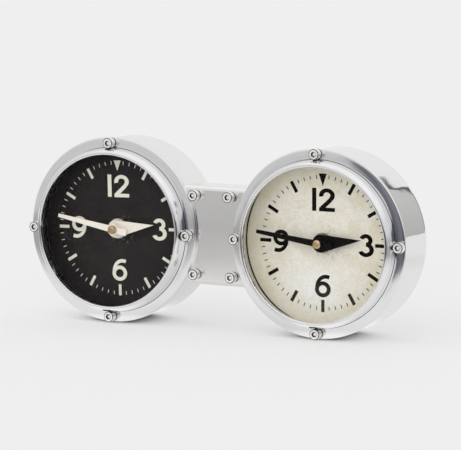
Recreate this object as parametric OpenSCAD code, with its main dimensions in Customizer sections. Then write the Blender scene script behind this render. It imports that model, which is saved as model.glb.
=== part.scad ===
// Twin table clock made from two round dashboard clocks: each has a turned drum case,
// a screwed bezel with a raised lip, and a battery movement. A machined bridge block
// joins the two cases. The part is in millimetres, +Z up, dials facing -Y, with its
// origin on the ground under the centre of its bounding box.
// Inside a clock the axis points out of the dial: height 0 is the front rim of the
// case, and heights are positive towards the viewer.

/* [Clock pair] */
// Gap between the two cases
clock_gap = 29; // [26:0.5:40]
// Turn of the left dial, clockwise from upright, in degrees
left_dial_turn = -1.9; // [-5:0.1:5]
// Turn of the right dial, clockwise from upright, in degrees
right_dial_turn = -0.8; // [-5:0.1:5]

/* [Case] */
// Outside diameter of a case
case_d = 119; // [110:0.5:130]
// Length of a case along its axis
case_len = 34.5; // [32.5:0.5:50]
// Thickness of the wall round the dial and round the back cover
case_wall = 5.4; // [4.8:0.1:6.4]
// Width of the ledges that the dial and the back cover lie on
case_ledge = 5.1; // [4.6:0.1:6]
// Chamfer on the rear edge of a case
case_chamfer = 0.6; // [0.2:0.1:1.5]

/* [Bezel] */
// Overhang of the bezel flange past the case
flange_rim = 1; // [0.5:0.1:2]
// Thickness of the bezel flange
flange_t = 3; // [2.5:0.5:5]
// Rounding of the front edge of the flange
flange_round = 0.8; // [0.3:0.1:1.2]
// Width of the flange outside the raised lip
flange_w = 6.7; // [6:0.1:7.5]
// Width of the lip from its foot to its crest
lip_w = 3.2; // [2.8:0.1:4]
// Height of the lip above the flange
lip_h = 8.6; // [7.6:0.2:12]
// Rounding inside the crest of the lip
lip_round = 1.1; // [0.6:0.1:1.4]
// Height of the crest of the lip above the glass
lip_over_glass = 1.7; // [1.5:0.1:2.2]
// Widening of the bezel between the glass and the case
mouth_w = 2; // [0.5:0.1:2.4]

/* [Glass] */
// Width of the rim of the glass behind the lip
glass_lap = 1.5; // [1:0.1:2]
// Thickness of the glass
glass_t = 2; // [1.5:0.1:2.5]
// Thickness of the rubber ring behind the glass
gasket_t = 0.4; // [0.2:0.1:0.8]
// Thickness of the metal ring that holds the glass
glass_ring_t = 1.2; // [0.8:0.1:1.6]
// Width of the rubber ring and the metal ring
glass_ring_w = 1; // [0.6:0.1:1.4]

/* [Dial] */
// Depth of the dial face behind the front rim of the case
dial_depth = 5.3; // [4.5:0.1:7]
// Gap between the dial and the wall of the case
dial_play = 1; // [0.2:0.1:1.5]
// Thickness of the dial
dial_t = 1; // [0.6:0.1:1.5]
// Diameter of the feet that hold the dial
dial_foot_d = 1.2; // [0.8:0.1:2]
// Length of the feet that hold the dial
dial_foot_len = 3; // [2:0.5:5]

/* [Screws] */
// Thread diameter of the bezel and bridge screws
screw_d = 4; // [3:0.5:4]
// Head diameter of those screws
screw_head_d = 7; // [6:0.1:7.2]
// Head height of those screws
screw_head_h = 4; // [3:0.1:5]
// Thickness of the washer under each of their heads
screw_washer_t = 1.4; // [0.5:0.1:2]
// Width across flats of the hexagon socket
hex_key = 3; // [2:0.5:3.5]
// Depth of the hexagon socket
hex_depth = 2.2; // [1:0.1:2.6]
// Length of thread of the bezel screws in the case
bezel_screw_grip = 8; // [5:0.5:10]
// Thread diameter of the back cover screws
back_screw_d = 2.5; // [2:0.5:2.5]
// Head diameter of the back cover screws
back_head_d = 4.6; // [4:0.1:4.8]
// Length of the back cover screws
back_screw_len = 8; // [5:0.5:12]

/* [Back cover] */
// Thickness of the back cover
cover_t = 2.5; // [2:0.1:3.5]
// Depth of the back cover behind the rear rim
cover_inset = 0.5; // [0.3:0.1:1.5]
// Gap round the movement in the opening of the back cover
window_play = 0.75; // [0.25:0.05:3]
// Rounding of the corners of that opening
window_round = 5; // [2:0.5:8]
// Distance of the back cover screws from the wall of the case
back_screw_inset = 2.7; // [2.5:0.1:2.9]

/* [Movement] */
// Diameter of the battery
battery_d = 14.5; // [13:0.1:15]
// Length of the battery with its terminal
battery_len = 50.5; // [45:0.1:52]
// Room for a contact at each end of the battery
contact_reach = 1.55; // [1.2:0.05:2]
// Gap between the battery and its bay
battery_play = 0.3; // [0.2:0.1:0.6]
// Depth of the battery bay behind the battery
bay_spare = 1.4; // [0.5:0.1:3]
// Wall of the movement housing
movement_wall = 1.2; // [1:0.1:1.6]
// Thickness of the front plate of the movement
movement_front = 1.5; // [1.3:0.1:2]
// Thickness of the rubber washer between the dial and the movement
seal_t = 0.5; // [0.3:0.1:1]
// Wall of the threaded stem through the dial
stem_wall = 1.45; // [1.2:0.05:2]
// Length of the stem past the centre nut
stem_past = 0.3; // [0.1:0.1:1]
// Wall of the centre nut at its flats
nut_wall = 1; // [0.8:0.1:1.5]
// Thickness of the centre nut
nut_t = 1.9; // [1.5:0.1:2.5]
// Overhang of the steel washer past the centre nut
washer_rim = 1.5; // [0.5:0.1:2]
// Thickness of the steel washer
washer_t = 0.5; // [0.3:0.1:0.8]

/* [Motion work] */
// Tooth module of the gears
gear_module = 0.4; // [0.38:0.01:0.42]
// Thickness of a wheel
wheel_t = 1; // [0.8:0.1:1.2]
// Thickness of a pinion
pinion_t = 1.5; // [1.3:0.1:1.6]
// Diameter of the minute shaft
minute_shaft_d = 3.2; // [2.8:0.1:3.4]
// Wall of the hour tube
hour_tube_wall = 0.85; // [0.6:0.05:1]
// Diameter of the setting shaft
setting_shaft_d = 3; // [2:0.1:4]
// Diameter of the arbor of the intermediate wheel
arbor_d = 1.2; // [1:0.1:1.4]
// Radial running clearance of the shafts
running_fit = 0.05; // [0.03:0.01:0.08]

/* [Hands] */
// Gap between the stem and the hub of the hour hand
hour_hand_gap = 0.2; // [0.1:0.05:0.6]
// Distance from the hour hand to the minute hand
hand_spacing = 3.5; // [3:0.1:4]
// Thickness of the hands
hand_t = 0.6; // [0.4:0.1:0.8]
// Length of the hour hand
hour_hand_len = 28.5; // [24:0.5:34]
// Diameter of the hub of the hour hand
hour_hub_d = 12; // [11:0.5:14]
// Direction of the hour hand, clockwise from 12, in degrees
hour_angle = 83.4; // [0:0.1:360]
// Length of the minute hand
minute_hand_len = 44.5; // [38:0.5:47]
// Length of the tail of the minute hand
minute_tail_len = 9.3; // [6:0.1:12]
// Width of the minute hand at its tip
minute_tip_w = 2.4; // [1.5:0.1:3]
// Width of the minute hand at its hub
minute_root_w = 4.4; // [3.5:0.1:5]
// Diameter of the hub of the minute hand
minute_hub_d = 8; // [7:0.5:10]
// Direction of the minute hand, clockwise from 12, in degrees
minute_angle = 278; // [0:0.1:360]
// Diameter of the cap on the minute shaft
cap_d = 5.3; // [4.5:0.1:6]
// Height of the cap on the minute shaft
cap_h = 3.2; // [2.6:0.1:3.6]

/* [Bridge] */
// Height of the bridge
bridge_h = 64; // [56:1:74]
// Depth of the bridge with its back plate
bridge_depth = 22; // [20:0.5:30]
// Thickness of the back plate of the bridge
bridge_plate_t = 3; // [2:0.5:4]
// Rounding of the long edges of the bridge
bridge_round = 3; // [2:0.5:4]
// Wall between the pocket and a case, where it is thinnest
pocket_side = 4.5; // [3.5:0.1:5.5]
// Wall above and below the pocket
pocket_end = 12; // [11:0.5:14]
// Wall in front of the pocket
pocket_front = 7; // [5:0.5:9]
// Distance of the front screws from the sides of the pocket
bridge_screw_side = 3; // [2.8:0.1:4]
// Distance of the front screws from the top and bottom of the bridge
bridge_screw_edge = 6.5; // [6:0.1:7.5]
// Distance of the case screws from the ends of the pocket
side_screw_end = 8; // [5:0.5:12]
// Length of the screws between bridge and cases
side_screw_len = 12; // [10:0.5:13]

/* [Hidden] */
$fn = 96;
eps = 0.01;
parts = ["case", "bezel", "bezel_screws", "glass", "glass_gasket", "glass_ring", "dial",
    "back_cover", "back_cover_screws", "movement_case", "movement_cover", "train_plate",
    "movement_seal", "shaft_washer", "shaft_nut", "cannon_pinion", "minute_wheel",
    "hour_wheel", "minute_hand", "hour_hand", "hand_cap", "setting_knob", "battery",
    "battery_contacts", "stepper_coil", "circuit_board"];
bridge_parts = ["bridge_block", "bridge_back_plate", "bridge_front_screws", "bridge_side_screws"];

// Clearances of fitted pieces, of threads in their holes and of bolts in theirs
seat_gap = 0.1;
press_gap = 0.02;
hole_gap = 0.05;
bolt_gap = 0.15;
drill_past = 0.5;

// Diameters and widths that follow from the walls
clock_spacing = case_d + clock_gap;
well_d = case_d - 2 * case_wall;
case_bore_d = well_d - 2 * case_ledge;
bezel_pcd = case_d - case_wall;
back_pcd = well_d - 2 * back_screw_inset;
flange_d = case_d + 2 * flange_rim;
lip_foot_d = flange_d - 2 * flange_w;
lip_crest_d = lip_foot_d - 2 * lip_w;
opening_d = lip_crest_d - 2 * lip_round;
glass_d = opening_d + 2 * glass_lap;
bezel_mouth_d = glass_d + 2 * mouth_w;
dial_d = well_d - 2 * dial_play;
movement_inner_w = battery_len + 2 * contact_reach;
movement_w = movement_inner_w + 2 * movement_wall;
movement_t = movement_front + battery_d + 2 * battery_play + bay_spare;
window_w = movement_w + 2 * window_play;
hour_tube_d = minute_shaft_d + 2 * (running_fit + hour_tube_wall);
stem_d = hour_tube_d + 2 * (running_fit + stem_wall);
nut_w = stem_d + 2 * nut_wall;
washer_d = nut_w + 2 * washer_rim;
seal_rim = 3;
pocket_w = clock_gap - 2 * pocket_side;
pocket_h = bridge_h - 2 * pocket_end;
bridge_screw_x = pocket_w + 2 * bridge_screw_side;
bridge_screw_z = bridge_h - 2 * bridge_screw_edge;
side_screw_z = pocket_h - 2 * side_screw_end;
pocket_round = 3;
bridge_screw_spare = 0.5;

// Places along the clock's axis
lip_top = flange_t + lip_h;
glass_front = lip_top - lip_over_glass;
glass_back = glass_front - glass_t;
gasket_back = glass_back - gasket_t;
ring_back = gasket_back - glass_ring_t;
dial_face = -dial_depth;
dial_back = dial_face - dial_t;
movement_face = dial_back - seal_t;
movement_back = movement_face - movement_t;
movement_inside = movement_face - movement_front;
case_back = -case_len;
cover_outside = case_back + cover_inset;
cover_inside = cover_outside + cover_t;
nut_face = dial_face + washer_t;
stem_top = nut_face + nut_t + stem_past;
pocket_floor = -pocket_front;
plate_front = bridge_plate_t - bridge_depth;
pocket_middle = (pocket_floor + plate_front) / 2;

// Teeth of the motion work: 30/10 and 32/8 give twelve turns of the minute hand
// to one of the hour hand, on one distance between centres
cannon_teeth = 10;
minute_wheel_teeth = 30;
minute_pinion_teeth = 8;
hour_wheel_teeth = 32;
setting_teeth = 15;

// Levels of the motion work: wheels keep wheel_gap from each other and from the plates
wheel_gap = 1;
front_gap = 0.7;
pinion_past = 0.2;
plate_t = 1.2;
pivot_len = 1;
pivot_play = 0.1;
minute_pivot_d = minute_shaft_d / 2;
hour_wheel_z = movement_inside - front_gap - wheel_t;
minute_wheel_z = hour_wheel_z - wheel_gap - wheel_t;
cannon_z = minute_wheel_z - (pinion_t - wheel_t) / 2;
plate_z = minute_wheel_z - wheel_gap;
minute_wheel_y = (cannon_teeth + minute_wheel_teeth) * gear_module / 2;
setting_y = minute_wheel_y + (minute_wheel_teeth + setting_teeth) * gear_module / 2;
wheel_form = [0.9, 1.125, 1.25, 1.15, 0.35];
pinion_form = [0.7, 1.25, 1.125, 0.95, 0.6];

// Battery bay, with the ribs that the battery lies on
battery_y = battery_d / 2 + battery_play - movement_inner_w / 2;
battery_z = movement_inside - battery_play - battery_d / 2;
bay_y = battery_y + battery_d / 2 + battery_play;
bay_rib_x = 16;
bay_rib_t = 1.2;
bay_rib_w = battery_play + 0.15 * battery_d;

// Plate behind the wheels and the posts that hold it between case and cover
post_d = 4;
post_inset = 2.5;
plate_edge = 0.5;
plate_round = 2;
plate_low = bay_y + movement_wall;
plate_w = movement_inner_w - 2 * plate_edge;
plate_h = movement_inner_w / 2 - plate_low - 2 * plate_edge;
plate_mid_y = (movement_inner_w / 2 + plate_low) / 2;
plate_post_x = plate_w / 2 - post_inset;
plate_post_y = plate_h / 2 - post_inset;
plate_back = plate_z - plate_t;

// Hands on their tubes
hand_boss = 0.3;
boss_rim = 1;
collet_t = 0.7;
hand_seat_step = 0.8;
seat_past = 1.6;
tail_step = 0.3;
hand_seat_d = minute_shaft_d - hand_seat_step;
hour_hand_z = stem_top + hour_hand_gap + hand_boss;
minute_hand_z = hour_hand_z + hand_spacing;
cap_z = minute_hand_z + hand_t;
cap_dome = 0.5;

// Screw heads
head_chamfer = 0.3;
back_socket = 1.5;
back_socket_depth = 0.8;
back_head_h = (back_head_d - back_screw_d) / 2;

// Battery, contacts, coil and board
terminal_d = 5.5;
terminal_h = 1;
leaf_t = 0.4;
leaf_w = 8;
leaf_h = 10;
spring_d = 5;
coil_inset = 14.3;
coil_x = coil_inset - plate_w / 2;
coil_len = 16;
coil_d = 6.6;
coil_flange_d = 8;
coil_flange_t = 1;
coil_core_len = 22;
coil_core_w = 3;
coil_core_t = 1;
board_inset = 12.3;
board_x = plate_w / 2 - board_inset;
board_w = 12;
board_h = 18;
board_t = 1;
chip_w = 5;
crystal_d = 2.8;
crystal_len = 8;
crystal_x = -4;
crystal_sink = 0.2;

// Knob
knob_d = 12;
knob_h = 4;
knob_gap = 0.3;
knob_grooves = 18;
groove_d = 1;
groove_out = 0.4;

// Aluminium, steel, brass and plastic colours
polished = [0.86, 0.87, 0.88];
steel = [0.72, 0.72, 0.73];
brass = [0.78, 0.6, 0.3];
rubber = [0.08, 0.08, 0.08];
plastic = [0.12, 0.12, 0.13];
cream = [0.89, 0.87, 0.78];
ink = [0.07, 0.07, 0.07];

ground = flange_d / 2;
mid_depth = (lip_top + case_back) / 2;

// A clock's own frame: X right, Y up, Z out of the dial; side is -1 or 1
module at_clock(side) {
    translate([side * clock_spacing / 2, mid_depth, ground])
        rotate([90, 0, 0])
            children();
}

// The bridge's frame is the clock frame half way between the two axes
module at_middle() {
    at_clock(0) children();
}

module around(count, d, first = 0) {
    for (i = [0 : count - 1])
        rotate([0, 0, first + 360 * i / count])
            translate([d / 2, 0, 0])
                children();
}

module ring(outer_d, inner_d, z, t) {
    translate([0, 0, z])
        rotate_extrude()
            translate([inner_d / 2, 0])
                square([(outer_d - inner_d) / 2, t]);
}

module rounded_square(w, h, r) {
    square([w - 2 * r, h], center = true);
    square([w, h - 2 * r], center = true);
    for (x = [-1, 1], y = [-1, 1])
        translate([x * (w / 2 - r), y * (h / 2 - r)])
            circle(r);
}

// Socket head screw along Z: its head sits on z = 0 and its thread runs down
module cap_screw(len) {
    difference() {
        cylinder(d = screw_head_d, h = screw_head_h);
        translate([0, 0, screw_head_h - hex_depth])
            cylinder(d = hex_key / cos(30), h = hex_depth + 1, $fn = 6);
        ring(screw_head_d + 2, screw_head_d - 2 * head_chamfer, screw_head_h - head_chamfer, 1);
    }
    translate([0, 0, -len])
        cylinder(d = screw_d - 2 * hole_gap, h = len + eps);
}

// The same screw with a washer under its head; the washer lies on z = 0
module washer_screw(len) {
    translate([0, 0, screw_washer_t])
        cap_screw(len + screw_washer_t);
    cylinder(d = screw_head_d - 2 * head_chamfer, h = screw_washer_t);
}

// Countersunk screw along Z: the top of its head is at z = 0
module flush_screw(len) {
    shank_d = back_screw_d - 2 * hole_gap;
    difference() {
        union() {
            translate([0, 0, -back_head_h])
                cylinder(d1 = shank_d, d2 = back_head_d - 2 * hole_gap, h = back_head_h);
            translate([0, 0, -len])
                cylinder(d = shank_d, h = len - back_head_h + eps);
        }
        translate([0, 0, -back_socket_depth])
            cylinder(d = back_socket / cos(30), h = back_socket_depth + 1, $fn = 6);
    }
}

// Gear outline: form gives addendum, dedendum and tooth width in modules, then the
// width at the root and at the tip as shares of the width at the pitch circle
function tooth(n, form, a) =
    let (
        m = gear_module,
        rp = n * m / 2,
        ro = rp + form[0] * m,
        rr = rp - form[1] * m,
        wp = form[2] * m / 2 / rp * 180 / PI,
        wt = form[4] * wp * rp / ro,
        wr = form[3] * wp
    )
    [for (q = [[rr, -wr], [rp, -wp], [ro, -wt], [ro, wt], [rp, wp], [rr, wr]])
        [q[0] * cos(a + q[1]), q[0] * sin(a + q[1])]];

module gear(n, form, t, z, first) {
    translate([0, 0, z])
        linear_extrude(t)
            polygon([for (i = [0 : n - 1], p = tooth(n, form, first + 360 * i / n)) p]);
}

// Case

module case_shell(side) {
    color(polished)
        difference() {
            rotate_extrude()
                polygon([
                    [case_bore_d / 2, dial_back],
                    [well_d / 2, dial_back],
                    [well_d / 2, 0],
                    [case_d / 2, 0],
                    [case_d / 2, case_back + case_chamfer],
                    [case_d / 2 - case_chamfer, case_back],
                    [well_d / 2, case_back],
                    [well_d / 2, cover_inside],
                    [case_bore_d / 2, cover_inside]
                ]);
            around(4, bezel_pcd)
                translate([0, 0, -bezel_screw_grip - drill_past])
                    cylinder(d = screw_d, h = bezel_screw_grip + drill_past + 1);
            around(4, back_pcd, 45)
                translate([0, 0, cover_outside])
                    cylinder(d = back_screw_d, h = back_screw_len + drill_past);
            around(2, back_pcd)
                translate([0, 0, dial_back - dial_foot_len - drill_past])
                    cylinder(d = dial_foot_d + 2 * hole_gap, h = dial_foot_len + drill_past + 1);
            translate([-side * clock_spacing / 2, 0, 0])
                side_screw_places(side)
                    translate([0, 0, -side_screw_len - drill_past])
                        cylinder(d = screw_d, h = side_screw_len);
        }
}

// Bezel

function arc_points(cx, cz, rx, rz, from, to, steps) =
    [for (i = [0 : steps])
        let (a = from + (to - from) * i / steps)
        [cx + rx * cos(a), cz + rz * sin(a)]];

module bezel() {
    crest = lip_crest_d / 2;
    rim = flange_d / 2;
    r = flange_round;
    bore = glass_d / 2 + seat_gap;
    color(polished)
        difference() {
            rotate_extrude()
                polygon(concat(
                    [[bezel_mouth_d / 2, 0], [rim, 0]],
                    arc_points(rim - r, flange_t - r, r, r, 0, 90, 4),
                    arc_points(crest, flange_t, lip_foot_d / 2 - crest, lip_h, 0, 90, 12),
                    arc_points(crest, lip_top - lip_round, lip_round, lip_round, 90, 180, 5),
                    [[opening_d / 2, glass_front], [bore, glass_front], [bore, ring_back]]
                ));
            around(4, bezel_pcd) {
                translate([0, 0, -1])
                    cylinder(d = screw_d + 2 * bolt_gap, h = flange_t + 2);
                // Spot face that lets a head stand against the foot of the lip
                translate([0, 0, flange_t])
                    cylinder(d = screw_head_d + 2 * bolt_gap, h = lip_h);
            }
        }
}

module bezel_screws() {
    color(steel)
        around(4, bezel_pcd)
            translate([0, 0, flange_t])
                washer_screw(flange_t + bezel_screw_grip);
}

module glass() {
    color([0.8, 0.9, 0.95, 0.35])
        translate([0, 0, glass_back])
            cylinder(d = glass_d, h = glass_t);
}

module glass_gasket() {
    color(rubber)
        ring(glass_d, glass_d - 2 * glass_ring_w, gasket_back, gasket_t);
}

module glass_ring() {
    color(polished)
        ring(glass_d + 2 * (seat_gap - press_gap), glass_d - 2 * glass_ring_w, ring_back, glass_ring_t);
}

// Dial and back cover

module dial(turn, tint) {
    color(tint)
        difference() {
            union() {
                translate([0, 0, dial_back])
                    cylinder(d = dial_d, h = dial_t);
                around(2, back_pcd)
                    translate([0, 0, dial_back - dial_foot_len])
                        cylinder(d = dial_foot_d, h = dial_foot_len + dial_t / 2);
            }
            translate([0, 0, dial_back - 1])
                cylinder(d = stem_d + 2 * hole_gap, h = dial_t + 2);
        }
}

module back_cover() {
    color(polished)
        difference() {
            translate([0, 0, cover_outside])
                cylinder(d = well_d - 2 * seat_gap, h = cover_t);
            translate([0, 0, cover_outside - 1])
                linear_extrude(cover_t + 2)
                    rounded_square(window_w, window_w, window_round);
            around(4, back_pcd, 45) {
                translate([0, 0, cover_outside - 1])
                    cylinder(d = back_screw_d, h = cover_t + 2);
                translate([0, 0, cover_outside])
                    cylinder(d1 = back_head_d, d2 = back_screw_d, h = back_head_h);
            }
        }
}

module back_cover_screws() {
    color(steel)
        around(4, back_pcd, 45)
            translate([0, 0, cover_outside])
                rotate([180, 0, 0])
                    flush_screw(back_screw_len);
}

// Movement housing

module movement_case() {
    inner = movement_inner_w;
    color(plastic)
        difference() {
            union() {
                difference() {
                    translate([0, 0, movement_back])
                        linear_extrude(movement_t)
                            rounded_square(movement_w, movement_w, 2);
                    translate([0, 0, movement_back - 1])
                        linear_extrude(movement_t - movement_front + 1)
                            square([inner, inner], center = true);
                }
                // Wall between the battery bay and the works
                translate([-inner / 2 - eps, bay_y, movement_back])
                    cube([inner + 2 * eps, movement_wall, movement_t - 1]);
                // Ribs that the battery lies on
                for (x = [-bay_rib_x, bay_rib_x])
                    translate([x - bay_rib_t / 2, -inner / 2 - eps, battery_z])
                        cube([bay_rib_t, bay_rib_w, movement_inside - battery_z + eps]);
                // Posts that carry the plate behind the wheels
                for (x = [-1, 1], y = [-1, 1])
                    translate([x * plate_post_x, plate_mid_y + y * plate_post_y, plate_z])
                        cylinder(d = post_d, h = movement_inside - plate_z + eps);
                // Threaded stem through the dial
                translate([0, 0, movement_face - eps])
                    cylinder(d = stem_d, h = stem_top - movement_face + eps);
            }
            // Battery space, cut clean through the ribs
            translate([0, battery_y, battery_z])
                rotate([0, 90, 0])
                    cylinder(d = battery_d + 2 * hole_gap, h = inner, center = true);
            // Bore of the stem for the hour tube
            translate([0, 0, movement_back])
                cylinder(d = hour_tube_d + 2 * running_fit, h = movement_t + 10);
            // Blind bearing of the intermediate wheel
            translate([0, minute_wheel_y, movement_inside - 1])
                cylinder(d = arbor_d + 2 * running_fit, h = 1 + pivot_len);
        }
}

module train_plate() {
    color([0.85, 0.85, 0.82])
        difference() {
            translate([0, plate_mid_y, plate_back])
                linear_extrude(plate_t)
                    rounded_square(plate_w, plate_h, plate_round);
            translate([0, 0, plate_back - 1])
                cylinder(d = minute_pivot_d + 2 * running_fit, h = plate_t + 2);
            translate([0, minute_wheel_y, plate_back - 1])
                cylinder(d = arbor_d + 2 * running_fit, h = plate_t + 2);
            translate([0, setting_y, plate_back - 1])
                cylinder(d = setting_shaft_d + 2 * running_fit, h = plate_t + 2);
        }
}

module movement_cover() {
    top = movement_inner_w / 2 - seat_gap;
    low = plate_low + seat_gap;
    rib_z = movement_back + movement_wall;
    color(plastic)
        difference() {
            union() {
                translate([-top, low, movement_back])
                    cube([2 * top, top - low, movement_wall]);
                // Posts that press the plate against the case
                for (x = [-1, 1], y = [-1, 1])
                    translate([x * plate_post_x, plate_mid_y + y * plate_post_y, rib_z - eps])
                        cylinder(d = post_d, h = plate_back - rib_z + eps);
            }
            translate([0, setting_y, movement_back - 1])
                cylinder(d = setting_shaft_d + 2 * running_fit, h = movement_wall + 2);
        }
}

module movement_seal() {
    color(rubber)
        ring(washer_d + 2 * seal_rim, stem_d + 2 * hole_gap, movement_face, seal_t);
}

module shaft_washer() {
    color(steel)
        ring(washer_d, stem_d + 2 * hole_gap, dial_face, washer_t);
}

module shaft_nut() {
    color(brass)
        difference() {
            translate([0, 0, nut_face])
                cylinder(d = nut_w / cos(30), h = nut_t, $fn = 6);
            translate([0, 0, dial_face])
                cylinder(d = stem_d + 2 * hole_gap, h = nut_t + 2);
        }
}

// Motion work

module cannon_pinion() {
    color(brass) {
        gear(cannon_teeth, pinion_form, pinion_t, cannon_z, 90);
        translate([0, 0, cannon_z + pinion_t - eps])
            cylinder(d = minute_shaft_d, h = minute_hand_z - collet_t - cannon_z - pinion_t + eps);
        translate([0, 0, minute_hand_z - collet_t])
            cylinder(d = hand_seat_d, h = collet_t + hand_t + seat_past);
        translate([0, 0, plate_back])
            cylinder(d = minute_pivot_d, h = cannon_z - plate_back + eps);
    }
}

module minute_wheel() {
    pitch = 360 / minute_wheel_teeth;
    color([0.9, 0.88, 0.8])
        translate([0, minute_wheel_y, 0]) {
            gear(minute_wheel_teeth, wheel_form, wheel_t, minute_wheel_z, 270 + pitch / 2);
            gear(minute_pinion_teeth, pinion_form, wheel_gap + wheel_t + pinion_past,
                minute_wheel_z + wheel_t - eps, 270 + 180 / minute_pinion_teeth);
            translate([0, 0, plate_back])
                cylinder(d = arbor_d, h = movement_inside + pivot_len - pivot_play - plate_back);
        }
}

module hour_wheel() {
    tube_top = hour_hand_z + hand_t + hand_boss;
    color([0.9, 0.88, 0.8])
        difference() {
            union() {
                gear(hour_wheel_teeth, wheel_form, wheel_t, hour_wheel_z, 90);
                translate([0, 0, hour_wheel_z])
                    cylinder(d = hour_tube_d, h = tube_top - hour_wheel_z);
            }
            translate([0, 0, hour_wheel_z - 1])
                cylinder(d = minute_shaft_d + 2 * running_fit, h = tube_top - hour_wheel_z + 2);
        }
}

module setting_knob() {
    shaft_front = movement_inside - knob_gap;
    knob_front = movement_back - knob_gap;
    color([0.75, 0.1, 0.08])
        translate([0, setting_y, 0]) {
            gear(setting_teeth, wheel_form, wheel_t, minute_wheel_z, 270);
            translate([0, 0, knob_front - eps])
                cylinder(d = setting_shaft_d, h = shaft_front - knob_front + eps);
            translate([0, 0, knob_front - knob_h])
                linear_extrude(knob_h)
                    difference() {
                        circle(d = knob_d);
                        around(knob_grooves, knob_d + groove_out)
                            circle(d = groove_d, $fn = 12);
                    }
        }
}

// Hands

// Wedge along +Y that runs from the sides of a round hub to a point
module wedge(len, hub_d) {
    lean = acos(hub_d / 2 / len);
    circle(d = hub_d);
    polygon([
        [0, 0],
        [hub_d / 2 * sin(lean), hub_d / 2 * cos(lean)],
        [0, len],
        [-hub_d / 2 * sin(lean), hub_d / 2 * cos(lean)]
    ]);
}

module hour_hand(turn, tint) {
    color(tint)
        rotate([0, 0, -turn - hour_angle])
            difference() {
                union() {
                    translate([0, 0, hour_hand_z])
                        linear_extrude(hand_t)
                            wedge(hour_hand_len, hour_hub_d);
                    translate([0, 0, hour_hand_z - hand_boss])
                        cylinder(d = hour_tube_d + 2 * boss_rim, h = hand_t);
                }
                translate([0, 0, hour_hand_z - 1])
                    cylinder(d = hour_tube_d + 2 * press_gap, h = hand_t + 2);
            }
}

module minute_hand(turn, tint) {
    tail_w = minute_root_w - tail_step;
    color(tint)
        rotate([0, 0, -turn - minute_angle])
            difference() {
                union() {
                    translate([0, 0, minute_hand_z])
                        linear_extrude(hand_t) {
                            circle(d = minute_hub_d);
                            polygon([
                                [-minute_root_w / 2, 0],
                                [-minute_tip_w / 2, minute_hand_len],
                                [minute_tip_w / 2, minute_hand_len],
                                [minute_root_w / 2, 0],
                                [tail_w / 2, -minute_tail_len],
                                [-tail_w / 2, -minute_tail_len]
                            ]);
                        }
                    translate([0, 0, minute_hand_z - collet_t])
                        cylinder(d = hand_seat_d + 2 * boss_rim, h = collet_t + eps);
                }
                translate([0, 0, minute_hand_z - collet_t - 1])
                    cylinder(d = hand_seat_d + 2 * press_gap, h = hand_t + collet_t + 2);
            }
}

module hand_cap() {
    color(brass)
        difference() {
            rotate_extrude()
                polygon(concat(
                    [[0, cap_z], [cap_d / 2, cap_z]],
                    arc_points(0, cap_z + cap_h - cap_dome, cap_d / 2, cap_dome, 0, 90, 5)
                ));
            translate([0, 0, cap_z - 1])
                cylinder(d = hand_seat_d + 2 * press_gap, h = 1 + seat_past + pivot_play);
        }
}

// Electrics

module battery() {
    color([0.2, 0.25, 0.3])
        translate([-battery_len / 2, battery_y, battery_z])
            rotate([0, 90, 0]) {
                cylinder(d = battery_d, h = battery_len - terminal_h);
                cylinder(d = terminal_d, h = battery_len);
            }
}

module battery_contacts() {
    color(steel)
        for (side = [-1, 1])
            translate([side * (movement_inner_w / 2 - leaf_t / 2), battery_y, battery_z]) {
                cube([leaf_t, leaf_w, leaf_h], center = true);
                translate([-side * contact_reach / 2, 0, 0])
                    rotate([0, 90, 0])
                        cylinder(d = spring_d, h = contact_reach - leaf_t, center = true);
            }
}

module stepper_coil() {
    color([0.72, 0.4, 0.2])
        translate([coil_x, plate_mid_y, plate_back - coil_flange_d / 2])
            rotate([90, 0, 0]) {
                cylinder(d = coil_d, h = coil_len, center = true);
                for (end = [-1, 1])
                    translate([0, 0, end * coil_len / 2])
                        cylinder(d = coil_flange_d, h = coil_flange_t, center = true);
                cube([coil_core_w, coil_core_t, coil_core_len], center = true);
            }
}

module circuit_board() {
    board_z = plate_back - board_t;
    color([0.1, 0.3, 0.18])
        translate([board_x, plate_mid_y, board_z]) {
            translate([-board_w / 2, -board_h / 2, 0])
                cube([board_w, board_h, board_t]);
            translate([-chip_w / 2, -chip_w / 2, -board_t])
                cube([chip_w, chip_w, board_t + eps]);
            translate([crystal_x, -crystal_len / 2, crystal_sink - crystal_d / 2])
                rotate([-90, 0, 0])
                    cylinder(d = crystal_d, h = crystal_len);
        }
}

// Bridge

// Rounded bar between the cases, hollowed to their curve
module bridge_bar() {
    difference() {
        translate([0, 0, -bridge_depth / 2])
            rotate([90, 0, 90])
                linear_extrude(clock_spacing, center = true)
                    rounded_square(bridge_h, bridge_depth, bridge_round);
        for (side = [-1, 1])
            translate([side * clock_spacing / 2, 0, -bridge_depth - 1])
                cylinder(d = case_d + 2 * hole_gap, h = bridge_depth + 2);
    }
}

module bridge_screw_places() {
    for (x = [-1, 1], y = [-1, 1])
        translate([x * bridge_screw_x / 2, y * bridge_screw_z / 2, 0])
            children();
}

// Places of the screws that run out of the pocket into a case; their heads are at z = 0
module side_screw_places(side) {
    for (y = [-1, 1])
        translate([side * pocket_w / 2, y * side_screw_z / 2, pocket_middle])
            rotate([0, -side * 90, 0])
                children();
}

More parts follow.
